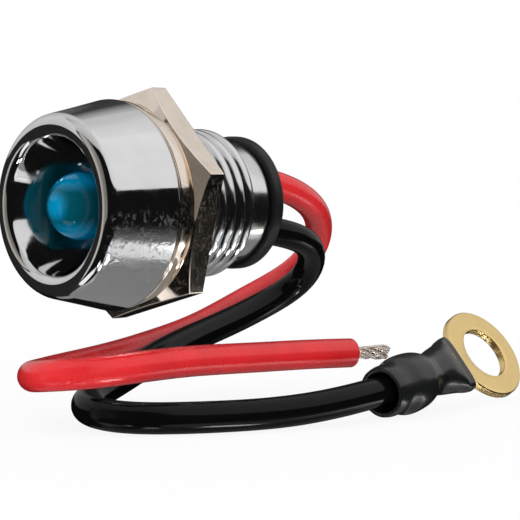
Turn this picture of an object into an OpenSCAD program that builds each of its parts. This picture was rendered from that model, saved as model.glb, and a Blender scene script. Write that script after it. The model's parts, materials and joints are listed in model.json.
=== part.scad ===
// Panel pilot light: a chromed metal bezel with a reflector bowl round a blue
// light-emitting diode, held in its panel hole by a washer and a hexagon nut.
// A red and a black lead leave the rear plug; the black one ends in a ring
// terminal.
// The lamp's axis is Y and its front faces -Y. The origin is the centre of the
// flat behind the head, where the panel bears, and Z is up.

/* [Bezel] */
// Outside diameter of the head at its back
head_d = 16.6; // [14.5:0.1:19]
// Length of the head, from its back to the front rim
head_len = 6.1; // [5.5:0.1:8]
// Taper of the head's side, in degrees from the lamp's axis
head_taper = 12.5; // [6:0.5:16]
// Thickness of the rounded rim round the reflector
rim_w = 1.3; // [0.9:0.1:1.6]
// Depth of the reflector bowl, from the rim to the diode
bowl_depth = 5.1; // [4.2:0.1:5.8]
// Diameter over the thread
thread_d = 12; // [11.5:0.1:14]
// Length of the threaded shank, from the back of the head
thread_len = 9.8; // [8.5:0.1:16]
// Distance from one ridge of the thread to the next
thread_pitch = 1; // [0.75:0.05:1.5]
// Depth of the thread
thread_depth = 0.5; // [0.3:0.05:0.6]
// Diameter of the plain neck behind the thread
neck_d = 10.1; // [9.7:0.1:11]
// Length of the plain neck
neck_len = 2.4; // [1.5:0.1:5]
// Diameter of the chamber in the shank
chamber_d = 8.4; // [8.2:0.1:8.8]

/* [Washer and nut] */
// Outside diameter of the washer
washer_d = 16.2; // [15:0.1:20]
// Thickness of the washer
washer_t = 0.95; // [0.5:0.05:1.5]
// Size of the nut across its flats
nut_af = 16.3; // [15:0.1:19]
// Thickness of the nut
nut_t = 2.45; // [2:0.05:4]
// How far the nut is turned on the thread, in degrees
nut_turn = 15; // [0:0.5:60]

/* [Diode] */
// Diameter of the diode's lens
lens_d = 5.2; // [4.8:0.1:5.4]
// Length of the lens, from its base to the tip of its dome
lens_len = 8.6; // [7.8:0.1:9]
// Diameter of the flange at the lens's base
flange_d = 5.8; // [5.6:0.1:6.2]
// Thickness of the flange
flange_t = 1; // [0.8:0.1:1.2]
// Distance between the two diode leads
lead_pitch = 2.54; // [2.3:0.02:2.6]
// Width of a square diode lead
lead_w = 0.5; // [0.4:0.05:0.55]

/* [Inside the shank] */
// Thickness of the insulating bush's wall
bush_wall = 0.6; // [0.4:0.05:0.7]
// Thickness of the bush's web, which the diode's flange bears on
bush_web = 0.8; // [0.6:0.1:1.2]
// Length of the series resistor's body
resistor_len = 3; // [2.6:0.1:3.2]
// Diameter of the resistor's end caps
resistor_d = 1.9; // [1.5:0.1:1.9]
// Diameter of the resistor's wires
resistor_wire_d = 0.5; // [0.35:0.05:0.55]

/* [Rear plug] */
// Diameter of the plug's collar
plug_d = 10.9; // [10.2:0.1:12]
// Length of the collar
plug_len = 1.2; // [0.8:0.1:2]
// Length of the plug's spigot inside the neck
spigot_len = 2; // [1.5:0.1:2.4]
// Distance between the two leads where they leave the plug
lead_gap = 4; // [3.8:0.1:4.2]

/* [Leads] */
// Outside diameter of a lead's insulation
wire_d = 2.4; // [2:0.1:2.4]
// Diameter of the bundle of copper strands
core_d = 0.9; // [0.7:0.1:0.9]
// Length of the bare end of the red lead
bare_len = 3.2; // [2:0.1:6]

/* [Ring terminal] */
// Diameter of the ring
ring_d = 8.1; // [7.6:0.1:9.5]
// Diameter of the stud hole
stud_hole_d = 4.5; // [4.3:0.1:5.3]
// Thickness of the terminal's sheet
sheet_t = 0.7; // [0.5:0.05:0.8]
// Distance from the stud hole to the mouth of the insulating sleeve
terminal_len = 14.9; // [14:0.1:17]
// Largest diameter of the insulating sleeve
sleeve_d = 4.8; // [4.6:0.1:5.6]

/* [Hidden] */
$fn = 64;

// Clearances
thread_gap = 0.05;
washer_gap = 0.25;
slip_gap = 0.05;
press_gap = 0.05;
tube_gap = 0.05;

// Bezel: places along the lamp's axis
rim_y = -head_len;
bowl_floor_y = rim_y + bowl_depth;
neck_end_y = thread_len + neck_len;
rim_r = rim_w / 2;
rim_inner_angle = 233;
rim_top_r = head_d / 2 - (head_len - rim_r) * tan(head_taper) - rim_r;
bowl_mouth_r = rim_top_r - rim_r * 0.6;
edge_r = 0.25;
thread_root_r = thread_d / 2 - thread_depth;
relief_len = 0.6;
ridges = floor((thread_len - relief_len) / thread_pitch);

// Diode: its dome stands proud of the bowl's floor
lens_base_y = 2.9;
lens_tip_y = lens_base_y - lens_len;
lens_bore_d = lens_d + 2 * slip_gap;
flange_y = lens_base_y - flange_t;

// Inside of the shank
bush_d = chamber_d - 2 * press_gap;
bush_bore_d = bush_d - 2 * bush_wall;
web_y = lens_base_y + bush_web;
spigot_y = neck_end_y - spigot_len;
lead_z = lead_gap / 2;
anode_z = lead_pitch / 2;
resistor_y = web_y + 2.1;
resistor_end_y = resistor_y + resistor_len;
core_y = resistor_end_y + 1.1;
insulation_y = spigot_y + 0.3;
plug_step = 0.15;
collar_y = neck_end_y + plug_step;
plug_end_y = neck_end_y + plug_step + plug_len;
solder_d = 1.7;

// Washer and nut
nut_y = washer_t;
nut_corner_r = nut_af / 2 / cos(30);
nut_face_r = nut_af * 0.454;
nut_chamfer = 28;

// Leads: hand-laid routes. The first point is inside the plug, and the last is
// the end of the insulation.
red_route = [
    [0, insulation_y, lead_z], [0, plug_end_y, lead_z], [0.5, 16.25, 1.75], [0.75, 19, 1],
    [0, 22, 0], [-1.5, 24.75, -1.25], [-3.5, 27.25, -3], [-5.5, 28, -5.25], [-7, 26.75, -7],
    [-7.75, 24, -8.25], [-7.75, 20.25, -9.5], [-7.25, 16.5, -10.75], [-6.75, 12.5, -11.5],
    [-6, 8.5, -12], [-5.25, 4.5, -12.5], [-4.75, 0.75, -12.75], [-4, -3.5, -13],
    [-2, -6.75, -13], [1, -8.5, -12.5], [4, -7.75, -12.25], [6, -5, -12], [6.5, -1, -11.75],
    [6.5, 3.5, -11.75], [7, 8.5, -12], [7.5, 13.5, -12], [8, 18.5, -12.25]];
black_route = [
    [0, insulation_y, -lead_z], [0, plug_end_y, -lead_z], [0.75, 16, -2.25],
    [1.25, 18.25, -2.75], [1, 20.5, -3.25], [0, 22.5, -4.25], [-1.5, 24, -5.75],
    [-3.25, 24.25, -7.25], [-4.5, 23, -8.5], [-5, 20.5, -9.5], [-4.75, 17, -10.5],
    [-4.25, 13, -11.25], [-3.5, 9.25, -12], [-2.5, 5.75, -12.75], [-1.25, 2.25, -13.75],
    [0, -1.75, -14.5], [1.75, -4.75, -15], [4.25, -5.5, -15.25], [6.75, -4.5, -15.5],
    [9, -2, -15.5], [10.75, 1, -15.5], [12.25, 4.25, -15.5], [13.5, 8, -15.35],
    [14.2, 12, -14.9], [14.3, 15.25, -14.55], [13.85, 19.2, -14.2]];
wire_sides = 8;

// Ring terminal: the place of its stud hole and how it lies
ring_pos = [12.6, 30, -12.9];
ring_turn = [6.8, 0, 6.5];
ring_roll = 54;
barrel_r = core_d / 2 + slip_gap;
roll_r = barrel_r + sheet_t;
barrel_from = ring_d * 0.73;
barrel_to = barrel_from + 4.5;
tongue_end = barrel_from + 0.4;
strand_stop = 0.1;
sleeve_from = ring_d * 0.49;
neck_r = sleeve_d * 0.41;

// ---- shared forms ----

// Turns a profile drawn as [radius, place along Y] about the lamp's axis
module turned(profile) {
    rotate([-90, 0, 0]) rotate_extrude() polygon(profile);
}

// A round bar or hole along Y, from one place to another
module rod(d, y0, y1, x = 0, z = 0) {
    translate([x, y0, z]) rotate([-90, 0, 0]) cylinder(d = d, h = y1 - y0);
}

// A tube along Y
module pipe(d, bore, y0, y1, z = 0) {
    difference() {
        rod(d, y0, y1, 0, z);
        rod(bore, y0 - 1, y1 + 1, 0, z);
    }
}

// Points of an arc, for a profile
function arc(cx, cy, r, a0, a1, n) =
    [for (i = [0 : n]) let (a = a0 + (a1 - a0) * i / n) [cx + r * cos(a), cy + r * sin(a)]];

// A closed skin over rings that all have the same number of points
module skin(rings) {
    n = len(rings[0]);
    m = len(rings);
    points = [for (ring = rings) for (p = ring) p];
    sides = [for (i = [0 : m - 2]) for (j = [0 : n - 1])
        let (a = i * n + j, b = i * n + (j + 1) % n)
        each [[a, b, b + n], [a, b + n, a + n]]];
    first = [[for (j = [n - 1 : -1 : 0]) j]];
    last = [[for (j = [0 : n - 1]) (m - 1) * n + j]];
    polyhedron(points, concat(sides, first, last));
}

function unit(v) = v / norm(v);

// Rings of a lead, square to its route, carried along without twist
function route_dir(route, i) =
    unit(route[min(i + 1, len(route) - 1)] - route[max(i - 1, 0)]);
function route_sides(route, i) =
    i == 0 ? unit(cross(route_dir(route, 0), [1, 0, 0]))
           : let (d = route_dir(route, i), s = route_sides(route, i - 1)) unit(s - d * (s * d));
function wire_rings(route, d) =
    [for (i = [0 : len(route) - 1])
        let (t = route_dir(route, i), u = route_sides(route, i), v = cross(t, u))
        [for (k = [0 : wire_sides - 1])
            let (a = -360 * k / wire_sides) route[i] + d / 2 * (u * cos(a) + v * sin(a))]];

// ---- bezel ----

// Ridges of the thread, drawn as rings from the groove behind the head
thread_profile = [for (i = [0 : ridges - 1]) let (y = relief_len + i * thread_pitch)
    each [[thread_root_r, y + thread_pitch * 0.05], [thread_d / 2, y + thread_pitch * 0.42],
          [thread_d / 2, y + thread_pitch * 0.58], [thread_root_r, y + thread_pitch * 0.95]]];

// Head with its rounded rim and bowl, threaded shank and plain neck, in one turned piece
module bezel_body() {
    rim_c = rim_y + rim_r;
    profile = concat(
        [[lens_bore_d / 2, flange_y], [lens_bore_d / 2, bowl_floor_y]],
        arc(rim_top_r, rim_c, rim_r, rim_inner_angle, 360 - head_taper, 10),
        [[head_d / 2 - edge_r * tan(head_taper), -edge_r * 1.4],
         [head_d / 2 - edge_r, 0],
         [thread_root_r, 0]],
        thread_profile,
        [[thread_root_r, thread_len],
         [neck_d / 2, thread_len],
         [neck_d / 2, neck_end_y],
         [chamber_d / 2, neck_end_y],
         [chamber_d / 2, lens_base_y],
         [flange_d / 2 + slip_gap, lens_base_y],
         [flange_d / 2 + slip_gap, flange_y]]);
    color("silver") turned(profile);
}

module panel_washer() {
    color("lightgray") pipe(washer_d, thread_d + 2 * washer_gap, 0, washer_t);
}

// Hexagon whose face towards the head is chamfered by a cone
module hex_nut() {
    reach = nut_corner_r + 0.01;
    envelope = [[0, nut_y], [nut_face_r, nut_y],
                [reach, nut_y + (reach - nut_face_r) * tan(nut_chamfer)],
                [reach, nut_y + nut_t], [0, nut_y + nut_t]];
    color("tan") difference() {
        intersection() {
            translate([0, nut_y, 0]) rotate([-90, 0, 0])
                rotate([0, 0, -nut_turn]) cylinder(r = nut_corner_r, h = nut_t, $fn = 6);
            turned(envelope);
        }
        rod(thread_d + 2 * thread_gap, nut_y - 1, nut_y + nut_t + 1);
    }
}

// ---- diode ----

module diode_lens() {
    dome_c = lens_tip_y + lens_d / 2;
    steps = 12;
    profile = concat(
        [[0, lens_base_y], [0, lens_tip_y]],
        arc(0, dome_c, lens_d / 2, 90 / steps - 90, 0, steps - 1),
        [[lens_d / 2, flange_y], [flange_d / 2, flange_y], [flange_d / 2, lens_base_y]]);
    color("deepskyblue") turned(profile);
}

// A square lead of the diode, from the lens's base
module diode_lead(z, y1) {
    translate([-lead_w / 2, lens_base_y, z - lead_w / 2]) cube([lead_w, y1 - lens_base_y, lead_w]);
}

module anode_lead() {
    color("silver") diode_lead(anode_z, resistor_y - 0.3);
}

module cathode_lead() {
    color("silver") diode_lead(-anode_z, core_y - 0.5);
}

// ---- inside the shank ----

// Cup that presses on the flange and keeps the joints off the metal
module insulating_bush() {
    color("ivory") difference() {
        rod(bush_d, lens_base_y, spigot_y);
        rod(bush_bore_d, web_y, spigot_y + 1);
        for (z = [-anode_z, anode_z])
            rod(lead_w * 2, lens_base_y - 1, web_y + 1, 0, z);
    }
}

module resistor_body() {
    cap = resistor_len / 5;
    r = resistor_d / 2;
    color("peru") translate([0, 0, lead_z])
        turned([[0, resistor_y], [r * 0.8, resistor_y], [r, resistor_y + cap / 3],
                [r, resistor_y + cap], [r * 0.88, resistor_y + cap * 1.4],
                [r * 0.88, resistor_end_y - cap * 1.4], [r, resistor_end_y - cap],
                [r, resistor_end_y - cap / 3], [r * 0.8, resistor_end_y], [0, resistor_end_y]]);
}

module resistor_front_wire() {
    color("silver") rod(resistor_wire_d, resistor_y - 1.4, resistor_y, 0, lead_z);
}

module resistor_rear_wire() {
    color("silver") rod(resistor_wire_d, resistor_end_y, core_y, 0, lead_z);
}

// Solder that joins the diode's anode to the resistor
module anode_solder() {
    mid_z = (anode_z + lead_z) / 2;
    color("gray") difference() {
        rod(solder_d, resistor_y - 1.3, resistor_y - 0.4, 0, mid_z);
        diode_lead(anode_z, resistor_y);
        rod(resistor_wire_d, resistor_y - 2, resistor_y, 0, lead_z);
    }
}

// Solder between the resistor and the red lead's strands, end to end
module red_lead_solder() {
    color("gray") difference() {
        rod(solder_d, core_y - 0.5, core_y + 0.5, 0, lead_z);
        rod(resistor_wire_d, core_y - 1, core_y, 0, lead_z);
        rod(core_d, core_y, core_y + 1, 0, lead_z);
    }
}

module cathode_solder() {
    mid_z = -(anode_z + lead_z) / 2;
    color("gray") difference() {
        rod(solder_d, core_y - 1.4, core_y - 0.5, 0, mid_z);
        diode_lead(-anode_z, core_y);
        rod(core_d, core_y - 2, core_y, 0, -lead_z);
    }
}

// Shrunk tube over the resistor and its joint
module resistor_sleeve() {
    color("dimgray")
        pipe(resistor_d + 0.5, resistor_d + 2 * tube_gap, resistor_y + 0.1, insulation_y - 0.1, lead_z);
}

module cathode_sleeve() {
    mid_z = -(anode_z + lead_z) / 2;
    color("dimgray") pipe(solder_d + 0.5, solder_d + 2 * tube_gap, core_y - 1.8, insulation_y - 0.3, mid_z);
}

// ---- rear plug ----

module rear_plug() {
    r = plug_d / 2;
    round_r = 0.3;
    color("black") difference() {
        turned(concat(
            [[0, spigot_y], [bush_d / 2, spigot_y], [bush_d / 2, neck_end_y],
             [neck_d / 2 - 0.2, neck_end_y], [neck_d / 2 - 0.2, collar_y]],
            arc(r - round_r, collar_y + round_r, round_r, -90, 0, 4),
            arc(r - round_r, plug_end_y - round_r, round_r, 0, 90, 4),
            [[0, plug_end_y]]));
        for (z = [-lead_z, lead_z])
            rod(wire_d + 2 * slip_gap, spigot_y - 1, plug_end_y + 1, 0, z);
    }
}

// ---- leads ----

module red_lead() {
    color("crimson") skin(wire_rings(red_route, wire_d));
}

module black_lead() {
    color("black") skin(wire_rings(black_route, wire_d));
}

// The red lead's strands: bared at its free end, and inside at the resistor
module red_lead_core() {
    tip = red_route[len(red_route) - 1];
    d = route_dir(red_route, len(red_route) - 1);
    color("rosybrown") {
        translate(tip) rotate([0, acos(d.z), atan2(d.y, d.x)]) cylinder(d = core_d, h = bare_len);
        rod(core_d, core_y, insulation_y, 0, lead_z);
    }
}

// ---- ring terminal ----

// Puts a form drawn at the stud hole, along -Y towards the lead, in its place
module at_ring() {
    translate(ring_pos) rotate(ring_turn) rotate([0, ring_roll, 0]) children();
}

// The black lead's strands: in the terminal's barrel, and inside at the diode
module black_lead_core() {
    color("rosybrown") {
        at_ring() rod(core_d, -barrel_to - 0.3, -tongue_end - strand_stop);
        rod(core_d, core_y - 1.3, insulation_y, 0, -lead_z);
    }
}

// Ring, tongue and the barrel rolled round the strands, of one sheet
module ring_terminal() {
    seam = 16;
    color("goldenrod") at_ring() {
        difference() {
            translate([0, 0, -sheet_t / 2]) linear_extrude(sheet_t) union() {
                circle(d = ring_d);
                tongue();
            }
            translate([0, 0, -sheet_t]) cylinder(d = stud_hole_d, h = 2 * sheet_t);
        }
        translate([0, -barrel_from, 0]) rotate([90, 0, 0])
            rotate([0, 0, 90 + seam / 2]) rotate_extrude(angle = 360 - seam)
                translate([barrel_r, 0]) square([sheet_t, barrel_to - barrel_from]);
    }
}

// Outline of the tongue, which narrows from the ring to the barrel and ends inside it
module tongue() {
    wide = ring_d * 0.277;
    narrow = (barrel_r + roll_r) / 2;
    half = [[wide, -ring_d * 0.41], [wide * 0.89, -sleeve_from],
            [narrow * 1.5, -barrel_from + 0.9], [narrow, -barrel_from], [narrow, -tongue_end]];
    polygon(concat(half, [for (i = [len(half) - 1 : -1 : 0]) [-half[i].x, half[i].y]]));
}

// Rings of the insulating sleeve: [distance from the stud hole, half width, half
// thickness, roundness, wall]
sleeve_form = let (r = sleeve_d / 2, end = terminal_len) [
    [sleeve_from, ring_d * 0.311, sheet_t * 1.15, 0.5, 0.28],
    [sleeve_from + 0.7, ring_d * 0.296, sheet_t * 1.6, 0.6, 0.3],
    [barrel_from - 0.3, neck_r * 1.09, neck_r * 0.8, 0.8, 0.33],
    [barrel_from + 1.1, neck_r * 1.02, neck_r * 0.98, 1, 0.5],
    [barrel_from + 2.4, neck_r, neck_r, 1, 0.5],
    [end - 5.8, neck_r * 1.04, neck_r * 1.04, 1, 0.5],
    [end - 4.8, r * 0.95, r * 0.95, 1, 0.6],
    [end - 3.6, r, r, 1, 0.6],
    [end - 2.4, r * 0.99, r * 0.99, 1, 0.6],
    [end - 1.3, r * 0.92, r * 0.92, 1, 0.5],
    [end - 0.5, r * 0.82, r * 0.82, 1, 0.35],
    [end, r * 0.775, r * 0.775, 1, 0.31]];
sleeve_sides = 24;

function bent(x, roundness) = sign(x) * pow(abs(x), roundness);
function sleeve_ring(place, half_w, half_t, roundness) =
    [for (k = [0 : sleeve_sides - 1]) let (a = -360 * k / sleeve_sides)
        [half_w * bent(cos(a), roundness), -place, half_t * bent(sin(a), roundness)]];

// Shrunk sleeve: round over the barrel, pressed flat over the tongue
module terminal_sleeve() {
    last = len(sleeve_form) - 1;
    outer = [for (f = sleeve_form) sleeve_ring(f[0], f[1], f[2], f[3])];
    inner = [for (i = [0 : last])
        let (f = sleeve_form[i], past = i == 0 ? -0.5 : i == last ? 0.5 : 0)
        sleeve_ring(f[0] + past, f[1] - f[4], f[2] - f[4], f[3])];
    color("darkslategray") at_ring() difference() {
        skin(outer);
        skin(inner);
    }
}

bezel_body();
panel_washer();
hex_nut();
diode_lens();
anode_lead();
cathode_lead();
insulating_bush();
resistor_body();
resistor_front_wire();
resistor_rear_wire();
anode_solder();
red_lead_solder();
cathode_solder();
resistor_sleeve();
cathode_sleeve();
rear_plug();
red_lead();
red_lead_core();
black_lead();
black_lead_core();
ring_terminal();
terminal_sleeve();
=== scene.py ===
"""Panel pilot light: finishes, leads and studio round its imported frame."""

import json
from math import atan2, ceil, cos, pi, radians, sin, tan

import bmesh
import bpy
from mathutils import Matrix, Vector, noise


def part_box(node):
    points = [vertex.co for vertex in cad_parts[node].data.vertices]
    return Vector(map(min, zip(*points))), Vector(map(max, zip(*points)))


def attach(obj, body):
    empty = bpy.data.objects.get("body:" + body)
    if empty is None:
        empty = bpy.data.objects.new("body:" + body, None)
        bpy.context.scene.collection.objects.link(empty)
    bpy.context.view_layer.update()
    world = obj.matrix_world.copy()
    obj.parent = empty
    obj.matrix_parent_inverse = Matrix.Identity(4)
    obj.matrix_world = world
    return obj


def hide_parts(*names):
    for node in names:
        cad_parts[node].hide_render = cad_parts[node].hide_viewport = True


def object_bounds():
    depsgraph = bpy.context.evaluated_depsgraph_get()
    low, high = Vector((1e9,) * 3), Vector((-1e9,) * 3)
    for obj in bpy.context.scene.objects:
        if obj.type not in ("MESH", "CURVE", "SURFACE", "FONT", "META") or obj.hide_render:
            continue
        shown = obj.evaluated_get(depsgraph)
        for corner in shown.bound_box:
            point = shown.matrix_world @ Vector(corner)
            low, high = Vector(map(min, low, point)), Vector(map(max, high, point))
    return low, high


bl_info = {
    "name": "Panel pilot light",
    "version": (1, 0, 0),
    "blender": (4, 5, 0),
    "location": "3D View > Sidebar > Pilot light",
    "description": "Builds a chromed pilot light with its nut, diode, leads and ring terminal",
    "category": "Add Mesh",
}

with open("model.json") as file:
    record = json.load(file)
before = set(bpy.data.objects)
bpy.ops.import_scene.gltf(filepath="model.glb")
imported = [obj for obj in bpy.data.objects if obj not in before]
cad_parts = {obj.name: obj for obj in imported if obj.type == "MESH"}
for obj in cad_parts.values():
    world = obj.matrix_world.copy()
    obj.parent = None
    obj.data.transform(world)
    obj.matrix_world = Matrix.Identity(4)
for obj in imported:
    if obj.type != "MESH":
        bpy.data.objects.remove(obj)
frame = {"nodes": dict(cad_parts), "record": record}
CAD_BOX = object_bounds()
NODES = frame["nodes"]
MM = 0.001

# ---- places taken from the frame, in millimetres ----


def box_mm(node):
    """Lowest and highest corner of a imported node, in millimetres."""
    lo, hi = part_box(node)
    return lo / MM, hi / MM


BEZEL_LO, BEZEL_HI = box_mm("bezel_body")
WASHER_LO, WASHER_HI = box_mm("panel_washer")
NUT_LO, NUT_HI = box_mm("hex_nut")
LENS_LO, LENS_HI = box_mm("diode_lens")
CORE_LO = box_mm("red_lead_core")[0]

HEAD_R = BEZEL_HI.x
RIM_Y = BEZEL_LO.y
NECK_END_Y = BEZEL_HI.y
STUD = next(m for m in frame["record"]["mounts"] if m["name"] == "stud_hole")

# The leads' routes, in millimetres: the first point is inside the plug, the second where the lead
# leaves it, the last the end of the insulation
RED_ROUTE = [
    (0, 10.5, 2), (0, 13.55, 2), (0.5, 16.25, 1.75), (0.75, 19, 1), (0, 22, 0),
    (-1.5, 24.75, -1.25), (-3.5, 27.25, -3), (-5.5, 28, -5.25), (-7, 26.75, -7),
    (-7.75, 24, -8.25), (-7.75, 20.25, -9.5), (-7.25, 16.5, -10.75), (-6.75, 12.5, -11.5),
    (-6, 8.5, -12), (-5.25, 4.5, -12.5), (-4.75, 0.75, -12.75), (-4, -3.5, -13),
    (-2, -6.75, -13), (1, -8.5, -12.5), (4, -7.75, -12.25), (6, -5, -12), (6.5, -1, -11.75),
    (6.5, 3.5, -11.75), (7, 8.5, -12), (7.5, 13.5, -12), (8, 18.5, -12.25)]
BLACK_ROUTE = [
    (0, 10.5, -2), (0, 13.55, -2), (0.75, 16, -2.25), (1.25, 18.25, -2.75), (1, 20.5, -3.25),
    (0, 22.5, -4.25), (-1.5, 24, -5.75), (-3.25, 24.25, -7.25), (-4.5, 23, -8.5),
    (-5, 20.5, -9.5), (-4.75, 17, -10.5), (-4.25, 13, -11.25), (-3.5, 9.25, -12),
    (-2.5, 5.75, -12.75), (-1.25, 2.25, -13.75), (0, -1.75, -14.5), (1.75, -4.75, -15),
    (4.25, -5.5, -15.25), (6.75, -4.5, -15.5), (9, -2, -15.5), (10.75, 1, -15.5),
    (12.25, 4.25, -15.5), (13.5, 8, -15.35), (14.2, 12, -14.9), (14.3, 15.25, -14.55),
    (13.85, 19.2, -14.2)]
LEAD_R = 1.2


# ---- settings ----


def length(name, description, default, low, high):
    """A length property, given in millimetres."""
    return bpy.props.FloatProperty(
        name=name, description=description, default=default * MM, min=low * MM, max=high * MM,
        precision=5, subtype="DISTANCE", unit="LENGTH")


def tint(name, description, default):
    """A colour property."""
    return bpy.props.FloatVectorProperty(
        name=name, description=description, default=default, subtype="COLOR", min=0, max=1)


class PilotLightSizes(bpy.types.PropertyGroup):
    """Sizes that the frame leaves open."""

    thread_pitch: length("Thread pitch", "Distance from one thread crest to the next", 1.0, 0.5, 2)
    thread_depth: length("Thread depth", "Height of the thread's crests over its roots", 0.3, 0.1, 0.7)
    nut_corner: length("Nut corner radius", "Rounding of the nut's six corners", 0.15, 0.02, 1)
    strands: bpy.props.IntProperty(
        name="Strands", description="Number of tinned strands at the red lead's bare end",
        default=14, min=3, max=30)
    strand_thickness: length("Strand thickness", "Diameter of one tinned strand", 0.25, 0.05, 0.4)


class PilotLightColours(bpy.types.PropertyGroup):
    """Base colours of the finishes."""

    chrome: tint("Chrome", "Tone of the chromed bezel", (0.83, 0.83, 0.84))
    nickel: tint("Nickel", "Warm tone of the plated nut and washer", (0.95, 0.83, 0.72))
    # Painted light and shade: the lighter lens blue stands in for light entering the lens from above,
    # from the floor and at its tip, and the deep blue for painted shade in its middle.
    lens: tint("Lens", "Light blue of the diode's lens", (0.0, 0.27, 0.52))
    lens_shaded_middle: tint("Lens middle", "Deep blue in the middle of the lens", (0.001, 0.085, 0.12))
    red: tint("Red lead", "Insulation of the red lead", (0.80, 0.018, 0.024))
    black: tint("Black lead", "Insulation of the black lead", (0.003, 0.003, 0.0035))
    sleeve: tint("Sleeve", "Shrunk sleeve on the ring terminal", (0.007, 0.0075, 0.008))
    brass: tint("Brass", "Stamped sheet of the ring terminal", (1.0, 0.74, 0.33))
    tinned: tint("Tinned copper", "Strands of both leads", (0.90, 0.86, 0.80))


def sizes():
    """The scene's own sizes of the lamp."""
    return bpy.context.scene.pilot_light_sizes


def colours():
    """The scene's own colours of the lamp."""
    return bpy.context.scene.pilot_light_colours


# ---- mesh tools ----


def add_object(name, data):
    """An object of a mesh, lamp or camera, put in the scene."""
    piece = bpy.data.objects.new(name, data)
    bpy.context.scene.collection.objects.link(piece)
    return piece


def build(name, points, faces, crease=30):
    """A mesh object from points in millimetres, welded, with faces turned outwards."""
    bm = bmesh.new()
    verts = [bm.verts.new(Vector(p) * MM) for p in points]
    for face in faces:
        bm.faces.new([verts[i] for i in face])
    bmesh.ops.remove_doubles(bm, verts=bm.verts, dist=1e-8)
    bmesh.ops.dissolve_degenerate(bm, edges=bm.edges, dist=1e-8)
    bmesh.ops.recalc_face_normals(bm, faces=bm.faces)
    mesh = bpy.data.meshes.new(name)
    bm.to_mesh(mesh)
    bm.free()
    mesh.shade_smooth()
    mesh.set_sharp_from_angle(angle=radians(crease))
    return add_object(name, mesh)


def grid_faces(rows, columns, wrap_rows=False, wrap_columns=True, offset=0):
    """Quads between neighbouring points of a grid stored row by row."""
    faces = []
    for i in range(rows if wrap_rows else rows - 1):
        for j in range(columns if wrap_columns else columns - 1):
            a, b = i * columns + j, i * columns + (j + 1) % columns
            c, d = ((i + 1) % rows) * columns + (j + 1) % columns, ((i + 1) % rows) * columns + j
            faces.append((a + offset, b + offset, c + offset, d + offset))
    return faces


def turned(profile, segments):
    """Points of a profile of (radius, y) turned about the lamp's axis, row by row."""
    return [(r * cos(2 * pi * j / segments), y, r * sin(2 * pi * j / segments))
            for r, y in profile for j in range(segments)]


def rounded(corners, closed=True, steps=5):
    """A profile from corners (radius, y, fillet), each fillet drawn as an arc."""
    points = []
    last = len(corners) - 1
    for i, (x, y, fillet) in enumerate(corners):
        here = Vector((x, y))
        if fillet == 0 or (not closed and i in (0, last)):
            points.append((x, y))
            continue
        back = Vector(corners[i - 1][:2]) - here
        on = Vector(corners[(i + 1) % len(corners)][:2]) - here
        half = back.angle(on) / 2
        reach = min(fillet / tan(half), back.length * 0.49, on.length * 0.49)
        centre = here + (back.normalized() + on.normalized()).normalized() * reach / cos(half)
        start, end = here + back.normalized() * reach - centre, here + on.normalized() * reach - centre
        a0 = atan2(start.y, start.x)
        sweep = (atan2(end.y, end.x) - a0 + pi) % (2 * pi) - pi
        for k in range(steps + 1):
            a = a0 + sweep * k / steps
            points.append((centre.x + start.length * cos(a), centre.y + start.length * sin(a)))
    return points


def smooth_path(route, steps, rounds=0, held=0):
    """A smooth curve through the points of a route, evened out between its held start and its end."""
    ends = [2 * Vector(route[0]) - Vector(route[1]), *map(Vector, route),
            2 * Vector(route[-1]) - Vector(route[-2])]
    path = []
    for a, b, c, d in zip(ends, ends[1:], ends[2:], ends[3:]):
        for k in range(steps):
            t = k / steps
            path.append(0.5 * (2 * b + (c - a) * t + (2 * a - 5 * b + 4 * c - d) * t ** 2
                               + (3 * b - a - 3 * c + d) * t ** 3))
    path.append(Vector(route[-1]))
    for _ in range(rounds):
        path = path[:held + 1] + [(a + 2 * b + c) / 4 for a, b, c in zip(
            path[held:], path[held + 1:], path[held + 2:])] + path[-1:]
    return path


def path_length(path):
    """Length of a path from point to point."""
    return sum((b - a).length for a, b in zip(path, path[1:]))


def path_frames(path):
    """Direction and two square sides at each point of a path, carried along without twist."""
    frames = []
    side = None
    for i, here in enumerate(path):
        along = (path[min(i + 1, len(path) - 1)] - path[max(i - 1, 0)]).normalized()
        side = side or along.orthogonal()
        side = (side - along * side.dot(along)).normalized()
        frames.append((here, along, side, along.cross(side)))
    return frames


def swept(path, radii, sides):
    """Rings of points round a path, one radius for each point."""
    points = []
    for (here, _, u, v), r in zip(path_frames(path), radii):
        points += [here + r * (u * cos(2 * pi * k / sides) + v * sin(2 * pi * k / sides))
                   for k in range(sides)]
    return points


def closed_tube(path, radii, sides, offset=0):
    """Points and faces of a bar with flat ends."""
    points = swept(path, radii, sides)
    rows = len(path)
    faces = grid_faces(rows, sides, offset=offset)
    faces.append(tuple(offset + k for k in range(sides)))
    faces.append(tuple(offset + (rows - 1) * sides + k for k in range(sides)))
    return points, faces


def soften(piece, width, angle):
    """Breaks the edges of a piece that are sharper than an angle in degrees."""
    bevel = piece.modifiers.new("broken_edges", "BEVEL")
    bevel.width = width * MM
    bevel.segments = 2
    bevel.limit_method = "ANGLE"
    bevel.angle_limit = radians(angle)
    bevel.harden_normals = False


def set_piece(piece, body, material, slot, *replaced):
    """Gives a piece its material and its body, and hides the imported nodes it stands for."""
    piece.data.materials.clear()
    piece.data.materials.append(material)
    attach(piece, body)
    if replaced:
        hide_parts(*replaced)


def dress(node, material):
    """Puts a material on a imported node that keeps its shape."""
    mesh = NODES[node].data
    if not mesh.materials:
        mesh.materials.append(material)
    for i in range(len(mesh.materials)):
        mesh.materials[i] = material


# ---- shader tools ----


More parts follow.
